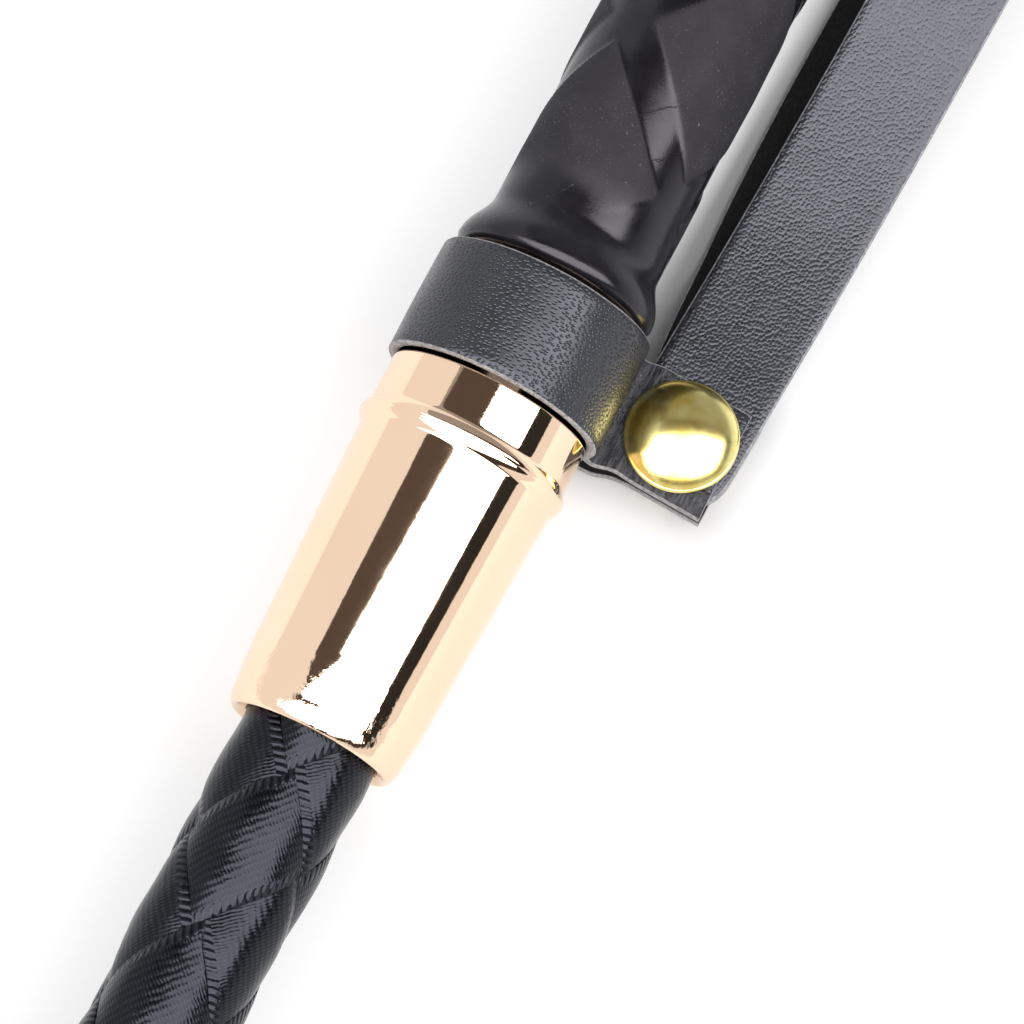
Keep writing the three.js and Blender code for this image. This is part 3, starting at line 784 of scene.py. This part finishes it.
def wrist_strap():
    """One strap from the upper ply out to the loop's end and back along the ground.

    The upper leg's height is the running sum of its slope, which is read between a few
    (distance, slope) points and scaled so that the leg ends at the top of the loop's bend.
    """
    upper_z = (ROOT_UP_LOW[2] + ROOT_UP_HIGH[2]) / 2
    lower_z = (ROOT_DOWN_LOW[2] + ROOT_DOWN_HIGH[2]) / 2
    ground = GROUND_Z + STRAP_LEATHER / 2 + 0.05
    bend_r = (BEND_HIGH[2] - BEND_LOW[2]) / 2 - STRAP_LEATHER / 2
    end_d = LOOP_END - bend_r - STRAP_LEATHER / 2
    rise_d = np.linspace(STRAP_START, end_d, 300)
    slope = np.interp(rise_d, (6, 8, 14, 25, 42, 60, 80, 100, 118, end_d),
                      (0, -0.02, 0.02, 0.13, 0.27, 0.25, 0.17, 0.07, 0.01, 0))
    height = running_sum(rise_d, slope)
    rise_line = np.stack([rise_d, upper_z + height / height[-1] * (ground + 2 * bend_r - upper_z)], 1)
    a = np.linspace(np.pi / 2, -np.pi / 2, 60)[1:-1]
    bend = np.stack([end_d + bend_r * np.cos(a), ground + bend_r + bend_r * np.sin(a)], 1)
    back = np.linspace(end_d, LANDING, 170)
    floor_run = np.stack([back, np.full_like(back, ground)], 1)
    rise = np.linspace(LANDING, TAKE_OFF, 30)[1:]
    climbed = smooth((rise - TAKE_OFF) / (LANDING - TAKE_OFF))
    climb = np.stack([rise, lower_z + (ground - lower_z) * climbed], 1)
    tail = np.stack([np.linspace(TAKE_OFF, STRAP_START, 30)[1:], np.full(29, lower_z)], 1)
    side = np.concatenate([rise_line, bend, floor_run, climb, tail])
    d, z = side[:, 0], side[:, 1]
    on_ground = np.arange(len(side)) >= len(rise_line) + len(bend)
    drift = np.where(on_ground, 3.3 * np.tanh(np.clip(d - 4, 0, None) / 26) * smooth((end_d - d) / 70), 0.0)
    x = RIVET_X + STRAP_DIRECTION[0] * d + STRAP_SIDE[0] * drift
    y = -RIVET_U + STRAP_DIRECTION[1] * d + STRAP_SIDE[1] * drift
    path = np.stack([x, y, z], 1)
    half = STRAP_HALF * (1 - np.clip(-d / STRAP_REACH, 0, 1) ** 3) ** (1 / 3)
    roll = np.where(on_ground, 0.0, UPPER_ROLL * smooth((d - 6) / 60) * smooth((end_d - d) / 60))
    lateral = np.stack([-STRAP_SIDE[0] * np.cos(roll), -STRAP_SIDE[1] * np.cos(roll), np.sin(roll)], 1)

    def lift(s, w):
        """Slow waves, faded out at both ends where the strap lies under the tab."""
        return 0.03 * ripples(s, w, 11.0, 90) * smooth((s - 11) / 6) * smooth((s.max() - 11 - s) / 6)

    piece = strap_object("wrist_strap", path, lateral, half, STRAP_LEATHER, lift)
    for finish in (FLESH, CUT_EDGE, LEATHER):
        piece.data.materials.append(finish)
    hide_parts("strap_end_upper", "strap_end_lower", "wrist_loop_upper", "wrist_loop_lower",
                "wrist_loop_bend")
    height = LIFT_HINGE[2]
    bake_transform(piece)
    return piece


wrist_strap()

# ---- keeper --------------------------------------------------------------------------------


def keeper():
    """One strip of leather: out from the binding, folded back at its far end and in again."""
    leather, gap_half = 1.15, 0.5
    ply = gap_half + leather / 2
    root_x, fold_x = -539.6, LEAF_LOW[0] + ply + leather / 2
    drop = -GROUND_Z - ply - leather / 2
    tail_z = TAIL_HIGH[2] - leather / 2
    x = np.linspace(fold_x, TAIL_HIGH[0], 150)
    sag = -drop * np.clip((root_x - x) / (root_x - fold_x), 0, None) ** 1.6
    spread = ply + (tail_z - ply) * smooth((x + 535.2) / 3.6)
    a = np.linspace(np.pi / 2, 1.5 * np.pi, 18)[1:-1]
    fold = np.stack([fold_x + ply * np.cos(a), -drop + ply * np.sin(a)], 1)
    upper = np.stack([x, sag + spread], 1)[::-1]
    lower = np.stack([x, sag - spread], 1)
    side = np.concatenate([upper, fold, lower])
    path = np.stack([side[:, 0], 0 * side[:, 0], side[:, 1]], 1)
    wide = smooth((-545.5 - side[:, 0]) / 22)
    corner = np.clip((LEAF_LOW[0] + 6 - side[:, 0]) / 6, 0, 1)
    rounding = 5.4 * (1 - np.sqrt(1 - 0.96 * corner**2))
    half = 2.8 + 1.0 * smooth((-537 - side[:, 0]) / 3) + 12.4 * wide - rounding

    def lift(s, w):
        """Slow waves over the whole strip."""
        return 0.04 * ripples(s, w, 14.0, 120)

    piece = strap_object("keeper_leather", path, (0.0, -1.0, 0.0), half, leather, lift)
    for finish in (LEATHER, CUT_EDGE, FLESH):
        piece.data.materials.append(finish)
    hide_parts("keeper_leaf", "keeper_tail_upper", "keeper_tail_lower")
    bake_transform(piece)
    return piece


keeper()

# ---- parts inside --------------------------------------------------------------------------

INSIDE = {
    "core_rod": plain_finish("rod_fibreglass", (0.8, 0.78, 0.66), (0.62, 0.6, 0.48), 0.45, 1.5, (0.05, 1, 1)),
    "shaft_padding": plain_finish("padding_foam", (0.02, 0.02, 0.022), (0.01, 0.01, 0.011), 0.9, 0.8),
    "cover_whipping": THREAD,
    "keeper_binding": THREAD,
    "grip_core": plain_finish("core_wood", (0.55, 0.38, 0.22), (0.4, 0.25, 0.13), 0.7, 1.2, (0.06, 1, 1)),
    "butt_plug": plain_finish("plug_nylon", (0.6, 0.58, 0.52), (0.52, 0.5, 0.44), 0.5, 2.0),
}
for node, finish in INSIDE.items():
    mesh = frame["nodes"][node].data
    mesh.materials.clear()
    mesh.materials.append(finish)

# ---- floor, camera and light ---------------------------------------------------------------

FIELD = 86.0  # mm seen across the picture
DISTANCE = 450.0
SENSOR = 36.0
HEADING = np.radians(27.1)  # the picture's upward direction, turned from the crop's axis
GLOW = 0.5  # the ground's own glow away from the crop


def aim(place, target):
    """A turn that points an object's -Z from place to target, keeping its +Y as upright as it can."""
    return (Vector(target) - Vector(place)).to_track_quat("-Z", "Y")


def camera():
    """Looks down on the joint from 14 degrees off the vertical."""
    target = np.array([-178.7, -5.95, 0.0])
    tilt = np.radians(76)
    back = np.array([np.cos(HEADING) * np.cos(tilt), np.sin(HEADING) * np.cos(tilt), -np.sin(tilt)])
    place = (target - DISTANCE * back) * MM
    data = bpy.data.cameras.new("camera")
    data.sensor_width = SENSOR
    data.lens = SENSOR * DISTANCE / FIELD
    data.clip_start = 0.01
    made = bpy.data.objects.new("camera", data)
    made.location = place
    made.rotation_euler = aim(place, target * MM).to_euler()
    bpy.context.scene.collection.objects.link(made)
    bpy.context.scene.camera = made


def floor():
    """White ground with a faint glow of its own, which fades out under the tab and inside the loop to paint
    shadow there.
    """
    fine = np.concatenate([[-3000, -800, -400], np.arange(-260, 61, 1.0), [400, 3000]])
    side = np.concatenate([[-3000, -400], np.arange(-60, 61, 1.0), [400, 3000]])
    x, y = np.meshgrid(fine, side, indexing="ij")
    points = np.stack([x, y, np.full_like(x, GROUND_Z - 0.02)], -1)
    made = grid_object("floor", points, wrap_columns=False)
    along, out = x - RIVET_X, -y - RIVET_U
    yaw = -STRAP_DIRECTION[1] / STRAP_DIRECTION[0]
    centre = out + 6.8 - yaw * along
    past_ends = np.maximum(4 - along, (along - 52) / 8)
    gap = np.hypot(np.clip(np.abs(centre) - 1.6, 0, None), np.clip(past_ends, 0, None))
    tab = np.hypot(np.clip(np.abs(out + 2) - 6, 0, None), np.clip(np.abs(along) - 4.5, 0, None))
    # painted shadow: the glow is cut inside the loop's gap and lowered under the tab
    glow = GLOW * smooth(gap / 2.2) * (0.6 + 0.4 * smooth(tab / 5.5))
    made.data.attributes.new("glow", "FLOAT", "POINT").data.foreach_set("value", glow.ravel())
    finish = Finish("pale_floor", (0.55, 0.55, 0.555), 0.9)
    finish.shader.inputs["Emission Color"].default_value = (1, 1, 1, 1)
    shine = finish.add("Attribute", attribute_name="glow").outputs["Fac"]
    finish.tree.links.new(shine, finish.shader.inputs["Emission Strength"])
    made.data.materials.append(finish.material)


def card(name, across, toward, brightness, color=(1, 1, 1), radius=0.9):
    """A studio card seen only in reflections.

    across and toward are the angles it spans in degrees from straight above the rivet: across to
    the picture's right, and toward the viewer, to the picture's bottom.
    """
    right = np.array([np.sin(HEADING), -np.cos(HEADING), 0.0])
    near = np.array([-np.cos(HEADING), -np.sin(HEADING), 0.0])
    steps = 13
    a, b = (np.tan(np.radians(np.linspace(*span, steps))) for span in (across, toward))
    points = a[None, :, None] * right + b[:, None, None] * near + np.array([0.0, 0.0, 1.0])
    points = radius * points / np.linalg.norm(points, axis=2, keepdims=True)
    points += np.array([RIVET_X * MM, -RIVET_U * MM, 0.0])
    mesh = bpy.data.meshes.new(name)
    k = np.arange(steps * (steps - 1)).reshape(-1, steps)[:, :-1].ravel()
    quads = np.stack([k, k + 1, k + steps + 1, k + steps], 1)
    mesh.from_pydata(points.reshape(-1, 3).tolist(), [], quads.tolist())
    made = bpy.data.objects.new(name, mesh)
    material = bpy.data.materials.new(name)
    material.use_nodes = True
    nodes = material.node_tree.nodes
    nodes.clear()
    glow = nodes.new("ShaderNodeEmission")
    glow.inputs["Color"].default_value = (*color, 1)
    glow.inputs["Strength"].default_value = brightness
    end = nodes.new("ShaderNodeOutputMaterial")
    material.node_tree.links.new(glow.outputs[0], end.inputs[0])
    mesh.materials.append(material)
    for sight in ("visible_camera", "visible_diffuse", "visible_shadow", "visible_transmission"):
        setattr(made, sight, False)
    bpy.context.scene.collection.objects.link(made)


def lamp(name, place, target, size, power):
    """A square lamp that lights the scene without showing in reflections."""
    data = bpy.data.lights.new(name, "AREA")
    data.shape = "SQUARE"
    data.size = size
    data.energy = power
    made = bpy.data.objects.new(name, data)
    made.location = place
    made.rotation_euler = aim(place, target).to_euler()
    made.visible_glossy = False
    bpy.context.scene.collection.objects.link(made)


def studio():
    """Pale surroundings, five cards for the reflections and one soft lamp."""
    world = bpy.data.worlds.new("studio")
    world.use_nodes = True
    world.node_tree.nodes["Background"].inputs["Color"].default_value = (1, 1, 1, 1)
    world.node_tree.nodes["Background"].inputs["Strength"].default_value = 0.95
    bpy.context.scene.world = world
    brown = (1, 0.82, 0.72)
    card("softbox", (-55, 57), (-8.5, 52), 7.0)
    card("dark_flag", (-32, 57), (-31, -8.6), 0.1, brown)
    card("near_flag", (-55, 57), (52.1, 70), 0.06, brown)
    card("edge_flag", (57.1, 76), (-31, 70), 0.03)
    card("grey_wall", (-32, 76), (-78, -31.1), 0.36)
    lamp("key_lamp", (-0.2, -0.7, 0.9), (-0.18, 0, 0), 0.8, 4.0)
    bpy.context.scene.view_settings.view_transform = "Standard"


camera()
floor()
studio()
